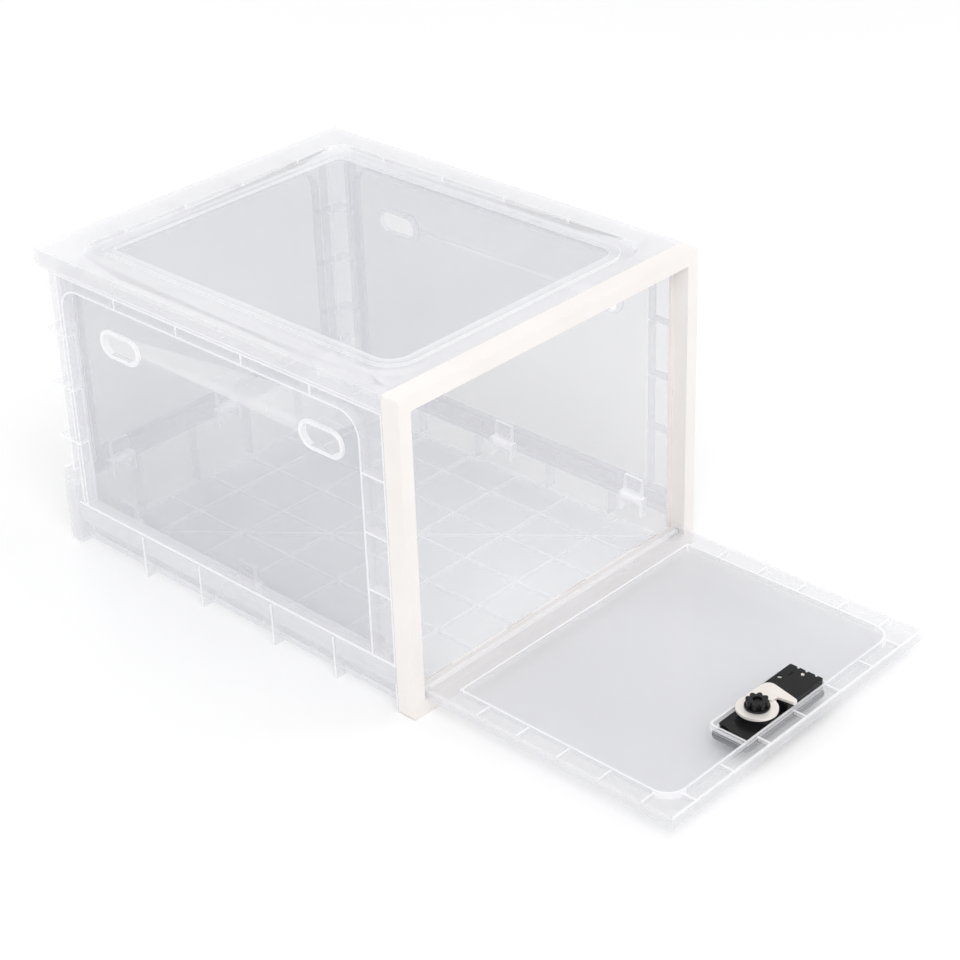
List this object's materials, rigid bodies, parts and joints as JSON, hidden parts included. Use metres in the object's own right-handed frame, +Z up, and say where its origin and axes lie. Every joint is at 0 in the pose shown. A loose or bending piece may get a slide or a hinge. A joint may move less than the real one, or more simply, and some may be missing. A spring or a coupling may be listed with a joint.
{
  "type": "lockable drop-front shoe storage box",
  "caption": "Clear stackable shoe box with a drop-down front door, a combination cam lock, a lift-off lid and fold-down side walls.",
  "frame": {"origin": "under the middle of the base tray, on the surface that the box stands on", "axes": "+Z up, +Y from the open front towards the back wall, +X to the right as seen from the front"},
  "size_m": [0.247, 0.4771, 0.2],
  "materials": {
    "clear_plastic": "clear moulded plastic, gloss",
    "white_plastic": "warm white moulded plastic, satin",
    "black_plastic": "black moulded plastic, semi-gloss",
    "nickel": "nickel-plated zinc, satin",
    "steel": "plain steel"
  },
  "bodies": {
    "box_body": {"base_tray": "clear_plastic", "back_wall": "clear_plastic", "front_frame": "white_plastic", "back_wall_clip_1": "clear_plastic", "back_wall_clip_2": "clear_plastic", "back_wall_clip_3": "clear_plastic"},
    "left_side": {"left_wall": "clear_plastic", "left_wall_clip_1": "clear_plastic", "left_wall_clip_2": "clear_plastic", "left_wall_clip_3": "clear_plastic"},
    "right_side": {"right_wall": "clear_plastic", "right_wall_clip_1": "clear_plastic", "right_wall_clip_2": "clear_plastic", "right_wall_clip_3": "clear_plastic"},
    "lid_body": {"lid": "clear_plastic"},
    "door_body": {"door_panel": "clear_plastic", "hinge_pin_left": "steel", "hinge_pin_right": "steel", "lock_face_plate": "black_plastic", "lock_housing": "black_plastic", "lock_back_cover": "black_plastic", "cover_screw": "steel", "dial_axle": "steel", "detent_spring": "steel"},
    "cam_body": {"lock_knob": "black_plastic", "lock_cam": "nickel", "cam_nut": "black_plastic"},
    "dial_1_body": {"number_dial_1": "black_plastic", "dial_hub_1": "steel"},
    "dial_2_body": {"number_dial_2": "black_plastic", "dial_hub_2": "steel"},
    "dial_3_body": {"number_dial_3": "black_plastic", "dial_hub_3": "steel"},
    "reset_body": {"code_reset_pin": "nickel"}
  },
  "joints": [
    {"name": "door_hinge", "type": "hinge", "parent": "box_body", "child": "door_body", "pos_m": [0, -0.1524, 0.0111], "axis": [-1, 0, 0], "range_deg": [0, 90]},
    {"name": "left_wall_fold", "type": "hinge", "parent": "box_body", "child": "left_side", "pos_m": [-0.11, 0, 0.0245], "axis": [0, 1, 0], "range_deg": [0, 90]},
    {"name": "right_wall_fold", "type": "hinge", "parent": "box_body", "child": "right_side", "pos_m": [0.11, 0, 0.0245], "axis": [0, -1, 0], "range_deg": [0, 80]},
    {"name": "lid_lift", "type": "slide", "parent": "box_body", "child": "lid_body", "axis": [0, 0, 1], "range_m": [0, 0.06]},
    {"name": "cam_turn", "type": "hinge", "parent": "door_body", "child": "cam_body", "pos_m": [-0.011, -0.3079, 0.0111], "axis": [0, 0, -1], "range_deg": [0, 90]},
    {"name": "dial_1_turn", "type": "hinge", "parent": "door_body", "child": "dial_1_body", "pos_m": [0.0076, -0.3079, 0.0112], "axis": [1, 0, 0], "continuous": true},
    {"name": "dial_2_turn", "type": "hinge", "parent": "door_body", "child": "dial_2_body", "pos_m": [0.0169, -0.3079, 0.0112], "axis": [1, 0, 0], "continuous": true},
    {"name": "dial_3_turn", "type": "hinge", "parent": "door_body", "child": "dial_3_body", "pos_m": [0.0262, -0.3079, 0.0112], "axis": [1, 0, 0], "continuous": true},
    {"name": "reset_press", "type": "slide", "parent": "door_body", "child": "reset_body", "axis": [0, 0, -1], "range_m": [0, 0.0008], "stiffness_N_per_m": 300}
  ]
}
